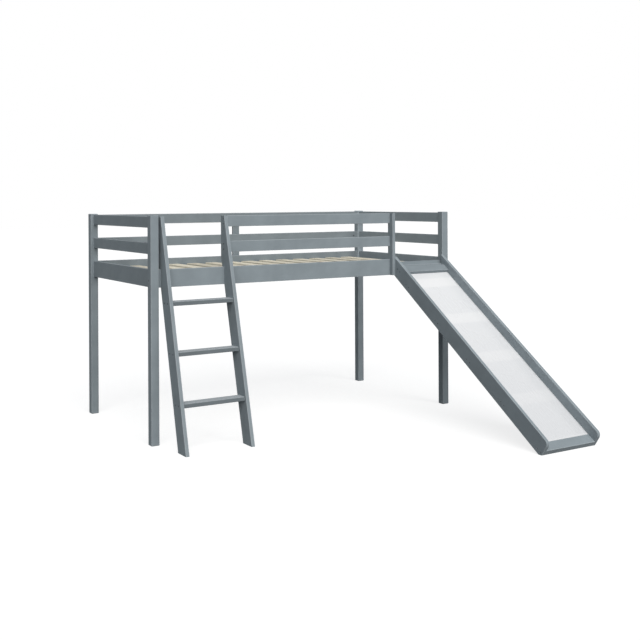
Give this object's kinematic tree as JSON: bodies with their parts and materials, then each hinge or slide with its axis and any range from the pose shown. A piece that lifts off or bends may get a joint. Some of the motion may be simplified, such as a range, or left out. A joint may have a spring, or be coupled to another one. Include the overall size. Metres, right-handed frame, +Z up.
{
  "type": "loft bed with slide",
  "caption": "Low loft bed of grey painted pine with guard rails all round, a slatted base, a leaning ladder and a straight slide with a white running surface.",
  "frame": {"origin": "middle of the floor rectangle that the bed, its ladder and its slide cover", "axes": "+X along the bed from the ladder end to the slide end, +Y from the foot of the slide to the back of the bed, +Z up from the floor"},
  "size_m": [1.98, 2.2426, 1.2],
  "materials": {
    "painted_pine": "grey satin paint on planed pine",
    "bare_pine": "bare planed pine",
    "beech_dowel": "bare beech",
    "white_sheet": "smooth white laminate",
    "zinc_steel": "zinc plated"
  },
  "bodies": {
    "root": {"back_middle_upright": "painted_pine", "barrel_nuts": "zinc_steel", "bed_bolts": "zinc_steel", "cleat_and_upright_screws": "zinc_steel", "connector_screws": "zinc_steel", "end_frame_dowels": "beech_dowel", "end_rail_left": "painted_pine", "end_rail_right": "painted_pine", "guard_rail_back_lower": "painted_pine", "guard_rail_back_upper": "painted_pine", "guard_rail_front_lower": "painted_pine", "guard_rail_front_upper": "painted_pine", "guard_rail_left_lower": "painted_pine", "guard_rail_left_upper": "painted_pine", "guard_rail_right_lower": "painted_pine", "guard_rail_right_upper": "painted_pine", "ladder_rung_1": "painted_pine", "ladder_rung_2": "painted_pine", "ladder_rung_3": "painted_pine", "ladder_stile_left": "painted_pine", "ladder_stile_right": "painted_pine", "long_board_screws": "zinc_steel", "post_back_left": "painted_pine", "post_back_right": "painted_pine", "post_front_left": "painted_pine", "post_front_right": "painted_pine", "side_rail_back": "painted_pine", "side_rail_front": "painted_pine", "slat_01": "bare_pine", "slat_02": "bare_pine", "slat_03": "bare_pine", "slat_04": "bare_pine", "slat_05": "bare_pine", "slat_06": "bare_pine", "slat_07": "bare_pine", "slat_08": "bare_pine", "slat_09": "bare_pine", "slat_10": "bare_pine", "slat_11": "bare_pine", "slat_12": "bare_pine", "slat_13": "bare_pine", "slat_14": "bare_pine", "slat_cleat_back": "painted_pine", "slat_cleat_front": "painted_pine", "slat_screws": "zinc_steel", "slide_batten_1": "painted_pine", "slide_batten_2": "painted_pine", "slide_batten_3": "painted_pine", "slide_batten_4": "painted_pine", "slide_entry_post": "painted_pine", "slide_foot_board": "painted_pine", "slide_hanger_board": "painted_pine", "slide_hanger_bolts": "zinc_steel", "slide_hanger_nuts": "zinc_steel", "slide_panel_left": "painted_pine", "slide_panel_right": "painted_pine", "slide_panel_screws": "zinc_steel", "slide_sheet": "white_sheet", "slide_top_board": "painted_pine"}
  },
  "joints": []
}
